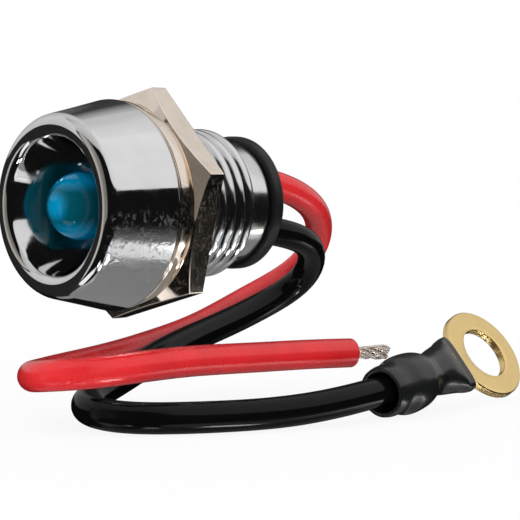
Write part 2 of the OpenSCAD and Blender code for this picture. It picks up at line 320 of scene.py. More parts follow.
class Shader:
    """A node tree being wired: nodes are added with their inputs set or linked."""

    def __init__(self, tree):
        self.tree = tree
        tree.nodes.clear()

    def feed(self, node, inputs):
        """Links or sets some of a node's inputs."""
        for key, value in inputs.items():
            if isinstance(value, bpy.types.NodeSocket):
                self.tree.links.new(value, node.inputs[key])
            else:
                node.inputs[key].default_value = value

    def add(self, kind, inputs=None, **settings):
        """A new shader node."""
        node = self.tree.nodes.new("ShaderNode" + kind)
        for key, value in settings.items():
            setattr(node, key, value)
        self.feed(node, inputs or {})
        return node

    def object_place(self):
        """Place on the object: the vector, and its X, Y and Z in metres."""
        where = self.add("TexCoord").outputs["Object"]
        return where, self.add("SeparateXYZ", {0: where}).outputs

    def math(self, operation, a, b=0.0):
        """A sum, product or the like of two values."""
        return self.add("Math", {0: a, 1: b}, operation=operation).outputs[0]

    def from_axis(self, place):
        """Distance from the lamp's axis."""
        squares = [self.math("MULTIPLY", place[key], place[key]) for key in "XZ"]
        return self.math("SQRT", self.math("ADD", *squares))

    def span(self, value, low, high, to_low=0.0, to_high=1.0):
        """A smooth step from one value to another."""
        return self.add("MapRange", {0: value, 1: low, 2: high, 3: to_low, 4: to_high},
                        interpolation_type="SMOOTHSTEP").outputs[0]

    def mix(self, factor, a, b):
        """A mix of two colours."""
        node = self.add("Mix", data_type="RGBA", blend_type="MIX")
        ends = [value if isinstance(value, bpy.types.NodeSocket) else (*value, 1) for value in (a, b)]
        self.feed(node, {0: factor, 6: ends[0], 7: ends[1]})
        return node.outputs[2]

    def noise(self, where, scale, detail=2.0, roughness=0.5, distortion=0.0):
        """Cloudy noise about 0.5."""
        return self.add("TexNoise", {"Vector": where, "Scale": scale, "Detail": detail,
                                     "Roughness": roughness, "Distortion": distortion}).outputs[0]

    def bump(self, height, strength, distance, under=None):
        """A bump, its distance in millimetres, over another one if that is given."""
        node = self.add("Bump", {"Height": height, "Strength": strength, "Distance": distance * MM})
        if under:
            self.feed(node, {"Normal": under})
        return node.outputs[0]

    def group(self, group, **inputs):
        """The outputs of a shader group placed here with its own values."""
        node = self.add("Group", node_tree=group)
        self.feed(node, {key.replace("_", " ").title(): value for key, value in inputs.items()})
        return node.outputs


def effect_group(name, inputs, outputs):
    """An empty shader group with float inputs and outputs; returns it and its two ends."""
    group = bpy.data.node_groups.new(name, "ShaderNodeTree")
    for key, value in inputs.items():
        socket = group.interface.new_socket(name=key, in_out="INPUT", socket_type="NodeSocketFloat")
        socket.default_value = value
    for key in outputs:
        group.interface.new_socket(name=key, in_out="OUTPUT", socket_type="NodeSocketFloat")
    s = Shader(group)
    return group, s, group.nodes.new("NodeGroupInput").outputs, group.nodes.new("NodeGroupOutput")


def made_once(kind, name):
    """Marks a function that makes a named data block, so that it makes it only once."""
    return lambda make: lambda: getattr(bpy.data, kind).get(name) or make(name)


@made_once("node_groups", "handling_marks")
def handling_marks(name):
    """Soft smudges and sparse small pits of a handled metal surface."""
    group, s, given, out = effect_group(
        name, {"Scale": 900.0, "Pit Scale": 6000.0}, ("Smudge", "Pits", "Height"))
    where = s.add("TexCoord").outputs["Object"]
    smudge = s.noise(where, given["Scale"], detail=5.0, roughness=0.62, distortion=0.4)
    cells = s.add("TexVoronoi", {"Vector": where, "Scale": given["Pit Scale"], "Randomness": 1.0})
    pits = s.span(cells.outputs["Distance"], 0.06, 0.34, 1.0, 0.0)
    patchy = s.span(s.noise(where, given["Scale"], detail=3.0), 0.50, 0.62)
    pits = s.math("MULTIPLY", pits, patchy)
    s.feed(out, {"Smudge": s.span(smudge, 0.35, 0.7), "Pits": pits,
                 "Height": s.math("SUBTRACT", smudge, s.math("MULTIPLY", pits, 0.12))})
    return group


@made_once("node_groups", "dull_mottling")
def dull_mottling(name):
    """Blotches where plating has gone dull: a mask for them and their slight relief."""
    group, s, given, out = effect_group(name, {"Scale": 2200.0}, ("Blotch", "Height"))
    where = s.add("TexCoord").outputs["Object"]
    cloud = s.noise(where, given["Scale"], detail=4.0, roughness=0.6, distortion=0.2)
    patch = s.noise(where, s.math("MULTIPLY", given["Scale"], 0.25), detail=2.0)
    blotch = s.math("MULTIPLY", s.span(cloud, 0.50, 0.64), s.span(patch, 0.36, 0.56))
    s.feed(out, {"Blotch": blotch, "Height": cloud})
    return group


@made_once("node_groups", "moulded_grain")
def moulded_grain(name):
    """Fine grain and slow shade changes of moulded or extruded plastic."""
    group, s, given, out = effect_group(
        name, {"Grain Scale": 9000.0, "Shade Scale": 350.0}, ("Grain", "Shade"))
    where = s.add("TexCoord").outputs["Object"]
    shade = s.noise(where, given["Shade Scale"], detail=3.0, roughness=0.55)
    s.feed(out, {"Grain": s.noise(where, given["Grain Scale"], detail=3.0, roughness=0.6),
                 "Shade": s.span(shade, 0.3, 0.7)})
    return group


def empty_material(name):
    """A new material without nodes, and its tree."""
    material = bpy.data.materials.new(name)
    material.use_nodes = True
    return material, Shader(material.node_tree)


def start_material(name):
    """A new material, its tree and its Principled shader, which is joined to the output."""
    material, s = empty_material(name)
    shader = s.add("BsdfPrincipled")
    s.add("OutputMaterial", {"Surface": shader.outputs[0]})
    return material, s, shader


def scaled(colour, factor):
    """A colour made darker or lighter."""
    return tuple(c * factor for c in colour)


def metal(name, colour, rough, rough_more, smudge_scale, bump, pit_scale=6000.0, dull=0.9,
          pitted=0.35, mottled=0.0):
    """A plated or bare metal with smudges, small pits and dull blotches."""
    material, s, shader = start_material(name)
    marks = s.group(handling_marks(), scale=smudge_scale, pit_scale=pit_scale)
    tone = s.mix(marks["Smudge"], colour, scaled(colour, dull))
    s.feed(shader, {
        "Base Color": s.mix(s.math("MULTIPLY", marks["Pits"], pitted), tone, scaled(colour, 0.5)),
        "Roughness": s.span(marks["Smudge"], 0.0, 1.0, rough, rough + rough_more),
        "Normal": s.bump(marks["Height"], bump, 0.02),
        "Metallic": 1.0})
    if mottled:
        blotch = s.group(dull_mottling(), scale=4200.0)["Blotch"]
        s.feed(shader, {"Metallic": s.math("SUBTRACT", 1.0, s.math("MULTIPLY", blotch, mottled))})
    return material


def plastic(name, colour, rough, bump, shade=0.8, grain_scale=9000.0, coat=0.0):
    """A moulded plastic."""
    material, s, shader = start_material(name)
    grain = s.group(moulded_grain(), grain_scale=grain_scale)
    s.feed(shader, {
        "Base Color": s.mix(grain["Shade"], colour, scaled(colour, shade)),
        "Roughness": s.span(grain["Shade"], 0.0, 1.0, rough, rough * 1.35),
        "Normal": s.bump(grain["Grain"], bump, 0.01),
        "Coat Weight": coat, "Coat Roughness": 0.06})
    return material


# ---- camera and studio ----

CAMERA_PLACE = (107.257, -89.688, 3.286)
CAMERA_TURN = (86.906, 0.0, 45.40)
CAMERA_LENS = 124.615
FLOOR_GAP = 0.02
FLOOR_R = 1500.0
TENT_R = 600.0
KEY_TARGET = (0, 8, -4)
FILL_TARGET = (0, 8, -8)


def place_camera():
    """The camera, level with the lamp and to the right of its front."""
    data = bpy.data.cameras.new("view")
    data.lens = CAMERA_LENS
    data.sensor_width = 36.0
    data.clip_start = 0.005
    data.clip_end = 10.0
    camera = add_object("view", data)
    camera.location = Vector(CAMERA_PLACE) * MM
    camera.rotation_euler = [radians(a) for a in CAMERA_TURN]
    bpy.context.scene.camera = camera


def white_for_looks(s):
    """1 for the rays that look at the background, 0 for those that light the object."""
    path = s.add("LightPath").outputs
    seen = s.math("MAXIMUM", path["Is Camera Ray"], path["Is Glossy Ray"])
    return s.math("MAXIMUM", seen, path["Is Transmission Ray"])


def light_world():
    """A soft white surround that looks white and lights the object a little less."""
    world = bpy.data.worlds.new("studio")
    bpy.context.scene.world = world
    world.use_nodes = True
    s = Shader(world.node_tree)
    strength = s.span(white_for_looks(s), 0.0, 1.0, 0.80, 1.0)
    background = s.add("Background", {"Color": (1, 1, 1, 1), "Strength": strength})
    s.add("OutputWorld", {"Surface": background.outputs[0]})


def lay_floor():
    """A pale floor under the leads that fades into the white backdrop."""
    z = CAD_BOX[0].z / MM - FLOOR_GAP
    rings = [0, 40, 120, 400, FLOOR_R]
    spokes = 48
    points = [(r * cos(2 * pi * k / spokes), r * sin(2 * pi * k / spokes), z)
              for r in rings for k in range(spokes)]
    floor = build("studio_floor", points, grid_faces(len(rings), spokes))
    material, s = empty_material("pale_floor")
    where = s.add("TexCoord").outputs["Object"]
    distance = s.add("VectorMath", {0: where}, operation="LENGTH").outputs["Value"]
    paper = s.mix(s.noise(where, 200.0), (0.92, 0.92, 0.92), (0.90, 0.90, 0.90))
    diffuse = s.add("BsdfDiffuse", {"Color": paper})
    glow = s.add("Emission", {"Color": (1, 1, 1, 1), "Strength": 1.0})
    seen = s.add("LightPath").outputs["Is Camera Ray"]
    share = s.math("MULTIPLY", seen, s.span(distance, 0.02, 0.09, 0.9, 1.0))
    mixed = s.add("MixShader", {0: share, 1: diffuse.outputs[0], 2: glow.outputs[0]})
    s.add("OutputMaterial", {"Surface": mixed.outputs[0]})
    floor.data.materials.append(material)
    floor.visible_glossy = False
    floor.visible_transmission = False


def between(stops, place):
    """The values of a table of stops at one place, in a straight line from stop to stop."""
    for (a, *low), (b, *high) in zip(stops, stops[1:]):
        if place <= b:
            t = (place - a) / (b - a)
            return [x + (y - x) * t for x, y in zip(low, high)]
    return stops[-1][1:]


def tent_panel(name, reach, stops, shade=(1, 1, 1), speckle=0.0):
    """A panel of the reflection tent, at a share of its radius. Each stop holds an azimuth, the
    panel's lowest and highest point there, in degrees, and its glow at both."""
    first, last = stops[0][0], stops[-1][0]
    rows, columns = 9, max(2, round((last - first) / 3) + 1)
    points, glows = [], []
    for i in range(rows):
        for j in range(columns):
            azimuth = first + (last - first) * j / (columns - 1)
            low, high, dim, bright = between(stops, azimuth)
            up, a = radians(low + (high - low) * i / (rows - 1)), radians(azimuth)
            away = Vector((cos(up) * cos(a), cos(up) * sin(a), sin(up)))
            points.append(away * TENT_R * reach * MM)
            glows.append(dim + (bright - dim) * i / (rows - 1))
    mesh = bpy.data.meshes.new(name)
    mesh.from_pydata(points, [], grid_faces(rows, columns, wrap_columns=False))
    mesh.attributes.new("glow", "FLOAT", "POINT").data.foreach_set("value", glows)
    panel = add_object(name, mesh)
    material, s = empty_material(name)
    glow = s.add("Attribute", attribute_name="glow").outputs["Fac"]
    if speckle:
        where = s.add("VectorMath", {0: s.add("TexCoord").outputs["Object"]},
                      operation="NORMALIZE").outputs["Vector"]
        glow = s.math("MULTIPLY", glow, s.span(s.noise(where, 30.0, 3.0), 0.36, 0.56, 1 - speckle, 1.0))
    shine = s.add("Emission", {"Color": (*shade, 1), "Strength": glow})
    s.add("OutputMaterial", {"Surface": shine.outputs[0]})
    material.cycles.emission_sampling = "NONE"
    mesh.materials.append(material)
    for kind in ("camera", "diffuse", "transmission", "volume_scatter", "shadow"):
        setattr(panel, "visible_" + kind, False)


def pitch_tent():
    """The tent that the bright metal reflects: light above, dark at eye height, pale below."""
    tent_panel("tent_wall", 1.0, [(-180, -90, 90, 0.006, 0.006), (180, -90, 90, 0.006, 0.006)])
    tent_panel("tent_ceiling", 0.98, [
        (-180, 10, 90, 0.5, 0.7), (-171, 14, 90, 0.45, 0.7), (-164, 50, 90, 0.4, 0.7),
        (-148, 46, 90, 0.4, 0.7), (-138, 24, 90, 0.5, 0.7), (-112, 40, 90, 0.5, 0.7),
        (-84, 50, 90, 0.5, 0.7), (-60, 56, 90, 0.55, 0.7), (-44, 52, 90, 0.55, 0.7),
        (-35, 42, 90, 0.6, 0.75), (-29, 27, 90, 0.7, 0.8), (-12, 21, 90, 0.76, 0.8),
        (12, 17, 90, 0.80, 0.84), (48, 14, 90, 0.82, 0.86), (62, 11, 90, 0.84, 0.86),
        (68, 2, 90, 0.6, 0.86), (105, 0, 90, 0.5, 0.8), (120, 0, 90, 0.45, 0.7),
        (144, 0, 90, 0.4, 0.7), (180, 10, 90, 0.5, 0.7)])
    tent_panel("tent_back_flag", 0.96, [
        (106, -4, 38, 0.5, 0.6), (114, -6, 38, 0.22, 0.3), (122, -8, 38, 0.03, 0.07),
        (143, -8, 38, 0.02, 0.05), (152, 0, 34, 0.4, 0.4)])
    tent_panel("tent_back_flag_top", 0.96, [
        (106, 38, 54, 0.6, 0.7), (114, 38, 54, 0.3, 0.65), (122, 38, 54, 0.07, 0.6),
        (143, 38, 54, 0.05, 0.45), (152, 34, 50, 0.4, 0.5)])
    tent_panel("tent_bench", 0.98, [
        (-180, -90, -42, 0.25, 0.25), (-140, -90, -50, 0.25, 0.3), (-112, -90, -72, 0.7, 0.3),
        (-84, -90, -74, 0.7, 0.2), (-44, -90, -72, 0.6, 0.2), (-36, -90, -58, 0.3, 0.3),
        (12, -90, -40, 0.25, 0.22), (30, -90, -40, 0.23, 0.22), (90, -90, -30, 0.23, 0.22),
        (180, -90, -42, 0.25, 0.25)])
    tent_panel("tent_front_sill", 0.95, [
        (-36, -57, -43, 0.9, 1.0), (-24, -58, -39, 0.95, 1.05), (-4, -54, -36, 0.8, 0.9),
        (12, -50, -36, 0.7, 0.8), (20, -50, -37, 0.6, 0.7)], speckle=0.3)
    tent_panel("tent_side_sill", 0.94, [
        (14, -52, -38, 0.8, 0.8), (24, -54, -36, 0.9, 1.0), (36, -50, -33, 1.0, 1.1),
        (48, -44, -30, 1.2, 1.2), (60, -42, -29, 1.2, 1.2), (72, -42, -29, 0.8, 0.8),
        (84, -36, -29, 0.25, 0.25)], speckle=0.45)
    tent_panel("tent_side_tube", 0.92, [
        (26, -41, -36, 1.6, 1.6), (38, -38, -33, 2.6, 2.6), (48, -35, -30, 3.4, 3.4),
        (72, -34, -30, 3.2, 3.2)])
    tent_panel("tent_side_dust", 0.95, [
        (0, -42, -20, 0.20, 0.0), (30, -38, -18, 0.28, 0.01), (42, -34, -17, 0.22, 0.0),
        (47, -31, -22, 0.10, 0.0), (72, -30, -22, 0.14, 0.0)], speckle=0.7)
    tent_panel("tent_left_sill", 0.95, [
        (-124, -60, -38, 1.0, 1.0), (-108, -60, -41, 1.0, 1.0), (-84, -60, -50, 0.9, 0.9)])
    tent_panel("tent_left_wall", 0.955, [
        (-180, -56, 6, 0.02, 0.02), (-150, -56, 6, 0.02, 0.02), (-122, -56, 8, 0.02, 0.02)])
    tent_panel("tent_rim_card", 0.95, [
        (-180, 8, 52, 0.6, 0.7), (-150, 8, 50, 0.6, 0.7), (-126, 12, 44, 0.6, 0.7)])
    tent_panel("tent_left_card", 0.95, [
        (-122, -34, 34, 0.65, 0.55), (-112, -24, 38, 0.5, 0.4), (-100, -10, 40, 0.25, 0.25),
        (-80, -8, 34, 0.22, 0.15), (-74, 0, 20, 0.05, 0.05)], shade=(1.0, 0.93, 0.85))
    tent_panel("tent_lead_glint", 0.9, [
        (-2, -65, -58, 20.0, 20.0), (24, -63, -57, 20.0, 20.0)])
    tent_panel("tent_bend_glint", 0.9, [
        (-56, -70, -64, 9.0, 9.0), (-40, -70, -64, 9.0, 9.0)])
    tent_panel("tent_lens_glint", 0.9, [(-75, -55, -49, 10.0, 10.0), (-69, -55, -49, 10.0, 10.0)])


def hang_lamp(name, place, target, size, power):
    """A square soft lamp that mirror reflections don't see."""
    data = bpy.data.lights.new(name, "AREA")
    data.size = size * MM
    data.energy = power
    lamp = add_object(name, data)
    lamp.location = Vector(place) * MM
    lamp.rotation_euler = (Vector(place) - Vector(target)).to_track_quat("Z", "Y").to_euler()
    lamp.visible_glossy = False


def light_studio():
    """A key lamp above the front and a fill lamp beside the camera."""
    hang_lamp("key_lamp", (-40, -260, 300), KEY_TARGET, 260, 0.36)
    hang_lamp("fill_lamp", (290, -110, 20), FILL_TARGET, 160, 0.36)
    bpy.context.scene.view_settings.view_transform = "Standard"


# ---- leads ----

LEAD_STEPS = 14
LEAD_SIDES = 40
EASING_ROUNDS = 200
STRAIGHT_POINTS = 18
STRANDS_OUT = 5.25
STRANDS_TWIST = 3.8


def insulation(name, route, bore_depth):
    """A lead's insulation: a tube with a squared-off end round its strands."""
    path = smooth_path(route, LEAD_STEPS, EASING_ROUNDS, STRAIGHT_POINTS)
    radii, run = [], 0.0
    for i, here in enumerate(path):
        run += (here - path[i - 1]).length if i else 0.0
        radii.append(LEAD_R * (0.992 + 0.008 * noise.noise(Vector((run * 0.22, 0, len(name))))))
    end = path[-1]
    along = (path[-1] - path[-2]).normalized()
    blunt = ((0.05, 0.985), (0.09, 0.94), (0.11, 0.86))
    turned_in = [(end + along * d, LEAD_R * share) for d, share in blunt]
    bore = [(end + along * 0.10, 0.60), (end + along * 0.04, 0.56), (end - along * bore_depth, 0.56)]
    rings = list(zip(path, radii)) + turned_in + bore
    points, faces = closed_tube([place for place, _ in rings], [r for _, r in rings], LEAD_SIDES)
    piece = build(name, points, faces, crease=40)
    piece.visible_glossy = False
    return piece, path, path_length(path)


def add_red_lead():
    """Red insulation with the strands at its bare end."""
    piece, path, total = insulation("red_lead_insulation", RED_ROUTE, 1.2)
    set_piece(piece, "lamp", glossy_lead("red_insulation", colours().red, 0.26, 0.3, 0.6),
              "red_pvc", "red_lead")
    strands = add_strands(path)


def add_black_lead():
    """Black insulation; returns it with its path and length."""
    piece, path, total = insulation("black_lead_insulation", BLACK_ROUTE, 0.6)
    set_piece(piece, "lamp", glossy_lead("black_insulation", colours().black, 0.13, 0.2, 0.0),
              "black_pvc", "black_lead")
    return piece, path, total


def glossy_lead(name, colour, rough, level, coat):
    """Extruded insulation: glossy and faintly cloudy."""
    material, s, shader = start_material(name)
    grain = s.group(moulded_grain(), grain_scale=1500.0, shade_scale=260.0)
    s.feed(shader, {
        "Base Color": s.mix(grain["Shade"], colour, scaled(colour, 0.85)),
        "Roughness": s.span(grain["Grain"], 0.3, 0.7, rough, rough * 1.2),
        "Normal": s.bump(grain["Grain"], 0.004, 0.01),
        "IOR": 1.5, "Specular IOR Level": level, "Coat Weight": coat, "Coat Roughness": 0.22})
    return material


def add_strands(lead_path):
    """The twisted strands at the red lead's bare end, opening out a little towards their tips."""
    count = sizes().strands
    r = sizes().strand_thickness / MM / 2
    along = (lead_path[-1] - lead_path[-2]).normalized()
    u = along.orthogonal().normalized()
    v = along.cross(u)
    start = lead_path[-1] - along * 1.0
    points, faces = [], []
    for i in range(count):
        layer = 0.4 if i % 3 == 0 else 1.0
        reach = STRANDS_OUT - 0.6 * (i * 0.618 % 1) * layer
        path = []
        for k in range(33):
            t = k / 32
            open_out = min(1.0, max(0.0, (t - 0.2) / 0.5))
            closing = 1 - 0.35 * max(0.0, (t - 0.88) / 0.12) ** 2
            radius = layer * (0.20 + 0.27 * open_out) * (1 + 0.14 * sin(9 * t + i * 2.4)) * closing
            a = 2 * pi * i / count + STRANDS_TWIST * t + 0.3 * sin(4 * t + i)
            path.append(start + along * (reach * t) + radius * (u * cos(a) + v * sin(a)))
        tube, skin = closed_tube(path, [r] * len(path), 8, len(points))
        points += tube
        faces += skin
    stub = [Vector((0, y, RED_ROUTE[0][2])) for y in (CORE_LO.y, RED_ROUTE[0][1] + 0.6)]
    tube, skin = closed_tube(stub, [0.45] * 2, 16, len(points))
    piece = build("red_lead_strands", points + tube, faces + skin, crease=50)
    set_piece(piece, "lamp", tinned_copper(), "tinned", "red_lead_core")
    return piece


@made_once("materials", "tinned_copper")
def tinned_copper(name):
    """Dull tin with copper showing in patches."""
    material, s, shader = start_material(name)
    marks = s.group(handling_marks(), scale=2200.0, pit_scale=9000.0)
    s.feed(shader, {
        "Base Color": s.mix(marks["Smudge"], colours().tinned, (0.70, 0.54, 0.44)),
        "Roughness": s.span(marks["Smudge"], 0.0, 1.0, 0.34, 0.5),
        "Normal": s.bump(marks["Height"], 0.3, 0.02),
        "Metallic": 0.7})
    return material


# ---- ring terminal ----

RING_R = 4.05
STUD_R = STUD["dims"]["r_mm"]
SHEET_T = STUD["dims"]["length_mm"]
TERMINAL_LEN = 14.9
SLEEVE_R = 2.4
SLEEVE_NECK_R = 1.968
BARREL_FROM = 5.913
BARREL_TO = 10.413
BARREL_R = 0.5


def terminal_frame():
    """Matrix in millimetres that puts a form drawn at the stud hole, along -Y towards the lead."""
    centre = Vector(STUD["pos_m"]) / MM
    normal = Vector(STUD["axis"]).normalized()
    away = centre - Vector(BLACK_ROUTE[-1])
    away = (away - normal * away.dot(normal)).normalized()
    return Matrix.Translation(centre) @ Matrix((away.cross(normal), away, normal)).transposed().to_4x4()


def terminal_outline(angle):
    """Distance from the stud hole to the sheet's edge in one direction, tongue included."""
    wide, join, end = RING_R * 0.554, RING_R * 0.82, BARREL_FROM + 0.4
    narrow = BARREL_R + SHEET_T / 2
    side = [(wide, -join), (wide * 0.89, -RING_R * 0.98), (narrow * 1.5, -BARREL_FROM + 0.9),
            (narrow, -BARREL_FROM), (narrow, -end)]
    edges = side + [(-x, y) for x, y in reversed(side)]
    ray = Vector((cos(angle), sin(angle)))
    best = RING_R
    for (x0, y0), (x1, y1) in zip(edges, edges[1:]):
        d = Vector((x1 - x0, y1 - y0))
        cross = ray.x * d.y - ray.y * d.x
        if abs(cross) < 1e-9:
            continue
        t = (x0 * d.y - y0 * d.x) / cross
        share = (x0 * ray.y - y0 * ray.x) / cross
        if t > 0 and -1e-6 <= share <= 1 + 1e-6:
            best = max(best, t)
    return best


def add_ring_terminal():
    """Stamped ring and tongue with a barrel rolled of the same sheet."""
    place = terminal_frame()
    half = SHEET_T / 2
    blunt, burr = 0.24, 0.05
    columns = 360
    section = []
    for k in range(columns):
        a = 2 * pi * k / columns
        inner, outer = STUD_R, terminal_outline(a)
        across = [inner + (outer - inner) * share for share in (0.25, 0.5, 0.75)]
        ring = [(inner + burr, -half), (inner, -half + burr), (inner, half - 0.12),
                (inner + 0.035, half - 0.035), (inner + 0.12, half)]
        ring += [(r, half) for r in across]
        ring += [(outer - blunt, half), (outer - blunt * 0.4, half - blunt * 0.1),
                 (outer - blunt * 0.1, half - blunt * 0.4), (outer, half - blunt),
                 (outer, -half + burr), (outer - burr, -half)]
        ring += [(r, -half) for r in reversed(across)]
        section.append([place @ Vector((r * cos(a), r * sin(a), z)) for r, z in ring])
    rows = len(section[0])
    points = [section[j][i] for i in range(rows) for j in range(columns)]
    faces = grid_faces(rows, columns, wrap_rows=True)
    barrel_points, barrel_faces = rolled_barrel(place, len(points))
    piece = build("ring_terminal_sheet", points + barrel_points, faces + barrel_faces, crease=35)
    set_piece(piece, "lamp", stamped_brass(), "brass", "ring_terminal")
    return piece


def rolled_barrel(place, offset):
    """The barrel: a C of sheet with its seam on top."""
    outer = BARREL_R + SHEET_T
    columns = 48
    points = []
    section = [(BARREL_R, BARREL_FROM), (outer, BARREL_FROM), (outer, BARREL_TO), (BARREL_R, BARREL_TO)]
    for r, s in section:
        for k in range(columns):
            a = pi / 2 + radians(8) + radians(344) * k / (columns - 1)
            points.append(place @ Vector((r * cos(a), -s, r * sin(a))))
    faces = grid_faces(len(section), columns, wrap_rows=True, wrap_columns=False, offset=offset)
    for k in (0, columns - 1):
        faces.append(tuple(offset + i * columns + k for i in range(len(section))))
    return points, faces


def stamped_brass():
    """Satin brass, a little cloudy, with fine drawing marks."""
    return metal("stamped_brass", colours().brass, 0.22, 0.10, 700.0, 0.02, dull=0.95, pitted=0.06)


def sleeve_rows():
    """Rings of the sleeve: place from the stud hole, half width, half thickness, roundness, wall."""
    r, neck, end = SLEEVE_R, SLEEVE_NECK_R, TERMINAL_LEN
    start = RING_R * 0.98
    waist = neck * 0.92
    return [
        (start, RING_R * 0.622, SHEET_T * 1.05, 0.5, 0.28),
        (start + 0.8, RING_R * 0.60, SHEET_T * 1.25, 0.55, 0.3),
        (BARREL_FROM - 0.5, neck * 1.14, neck * 0.66, 0.75, 0.3),
        (BARREL_FROM + 0.8, neck * 1.03, neck * 0.88, 0.95, 0.4),
        (end - 7.0, waist, waist * 0.98, 1, 0.4)] + [
        (end - back, half, half, 1, wall) for back, half, wall in (
            (6.2, waist, 0.4), (5.6, neck * 0.99, 0.45), (5.1, r * 0.90, 0.6), (4.4, r * 0.97, 0.6),
            (3.3, r, 0.6), (2.5, r * 0.985, 0.6), (1.9, r * 0.91, 0.5), (1.4, r * 0.865, 0.4),
            (0.5, r * 0.855, 0.35), (0.0, r * 0.82, 0.31))]


def add_sleeve():
    """Shrunk sleeve, flat over the tongue, with a ridge and an open mouth round the lead."""
    place = terminal_frame()
    fine = smooth_path([Vector(row) for row in sleeve_rows()], 6)
    sides = 96

    def bent(x, power):
        return (1 if x > 0 else -1) * abs(x) ** power

    def ring(form, inset):
        s, w, t, power = form[0], form[1] - inset, form[2] - inset, form[3]
        points = []
        for k in range(sides):
            a = 2 * pi * k / sides
            x, z = w * bent(cos(a), power), t * bent(sin(a), power)
            ripple = 1 - 0.012 * noise.noise(Vector((x * 0.9, s * 0.9, z * 0.9)) + Vector((3, 7, 1)))
            points.append(place @ Vector((x * ripple, -s, z * ripple)))
        return points

    points = []
    for form in fine:
        points += ring(form, 0.0)
    lip = fine[-1].copy()
    for out, inset in ((0.04, 0.08), (0.05, 0.16), (0.04, 0.24)):
        lip[0] = fine[-1][0] + out
        points += ring(lip, inset)
    for form in reversed(fine):
        points += ring(form, form[4])
    piece = build("terminal_sleeve_skin", points,
                  grid_faces(len(points) // sides, sides, wrap_rows=True), crease=50)
    set_piece(piece, "lamp", shrunk_sleeve(), "shrink", "terminal_sleeve")
    return piece


@made_once("materials", "shrunk_sleeve")
def shrunk_sleeve(name):
    """Satin black sleeve with a soft shine over its fine grain."""
    return plastic(name, colours().sleeve, 0.24, 0.08, shade=1.4, grain_scale=4200.0, coat=0.3)


# ---- bezel ----

HEAD_TAPER = radians(12.5)
RIM_ROLL = 1.05
RIM_BEAD = (0.85, 0.8)
BOWL_FLOOR_Y = -1.0
BOWL_DISH = 0.22
LENS_BORE_R = 2.65
FLANGE_BORE_R = 2.95
FLANGE_Y = 1.9
LENS_BASE_Y = 2.9
CHAMBER_R = 4.2
BEZEL_NECK_R = 5.05
THREAD_R = 6.0
THREAD_START_Y = 0.6
THREAD_LAG = 0.76
THREAD_END_Y = 9.8
BEZEL_SEGMENTS = 192

# Where the plating changes, in metres: the top and foot of the head's mottled band, the distance
# from the axis from which it is mottled, and the start of the duller shank
MOTTLE_TOP = (-0.0012, 0.0002)
MOTTLE_FOOT = (-0.0052, -0.0040)
MOTTLE_FROM = (0.0066, 0.0070)
DULL_FROM_Y = (0.0, 0.0008)


def thread_surface(start, end, offset, crest, root, pitch):
    """A right-hand thread between two circles of root radius, its rows lying along the helix."""
    n, per_turn = BEZEL_SEGMENTS, 12
    rows = per_turn * (ceil((end - start) / pitch) + 2)
    runout = 0.45
    points = []
    for i in range(n):
        lag = i / n + THREAD_LAG
        for m in range(rows + 1):
            y = min(max(start + pitch * (m / per_turn + lag - 2), start), end)
            form = abs(cos(pi * ((y - start) / pitch - lag)))
            r = root + (crest - root) * form
            r = min(r, root + (y - start) * 1.3, root + max(0.0, end - y) * (crest - root) / runout)
            points.append((r * cos(2 * pi * i / n), y, -r * sin(2 * pi * i / n)))
    faces = []
    for i in range(n):
        shift = per_turn if i == n - 1 else 0
        for m in range(rows - shift):
            a = i * (rows + 1) + m
            b = ((i + 1) % n) * (rows + 1) + m + shift
            faces.append((offset + a, offset + b, offset + b + 1, offset + a + 1))
    return points, faces


def rim_profile():
    """The rim, from the bowl over a round bead and out to the head's taper."""
    turn = pi / 2 - HEAD_TAPER
    y = RIM_Y + RIM_ROLL * (1 - cos(turn))
    crest = HEAD_R + y * tan(HEAD_TAPER) - RIM_ROLL * sin(turn)
    wide, deep = RIM_BEAD
    inner = [radians(66) * k / 16 for k in range(16, 0, -1)]
    outer = [turn * k / 24 for k in range(25)]
    return ([(crest - wide * sin(a), RIM_Y + deep * (1 - cos(a))) for a in inner]
            + [(crest + RIM_ROLL * sin(a), RIM_Y + RIM_ROLL * (1 - cos(a))) for a in outer])


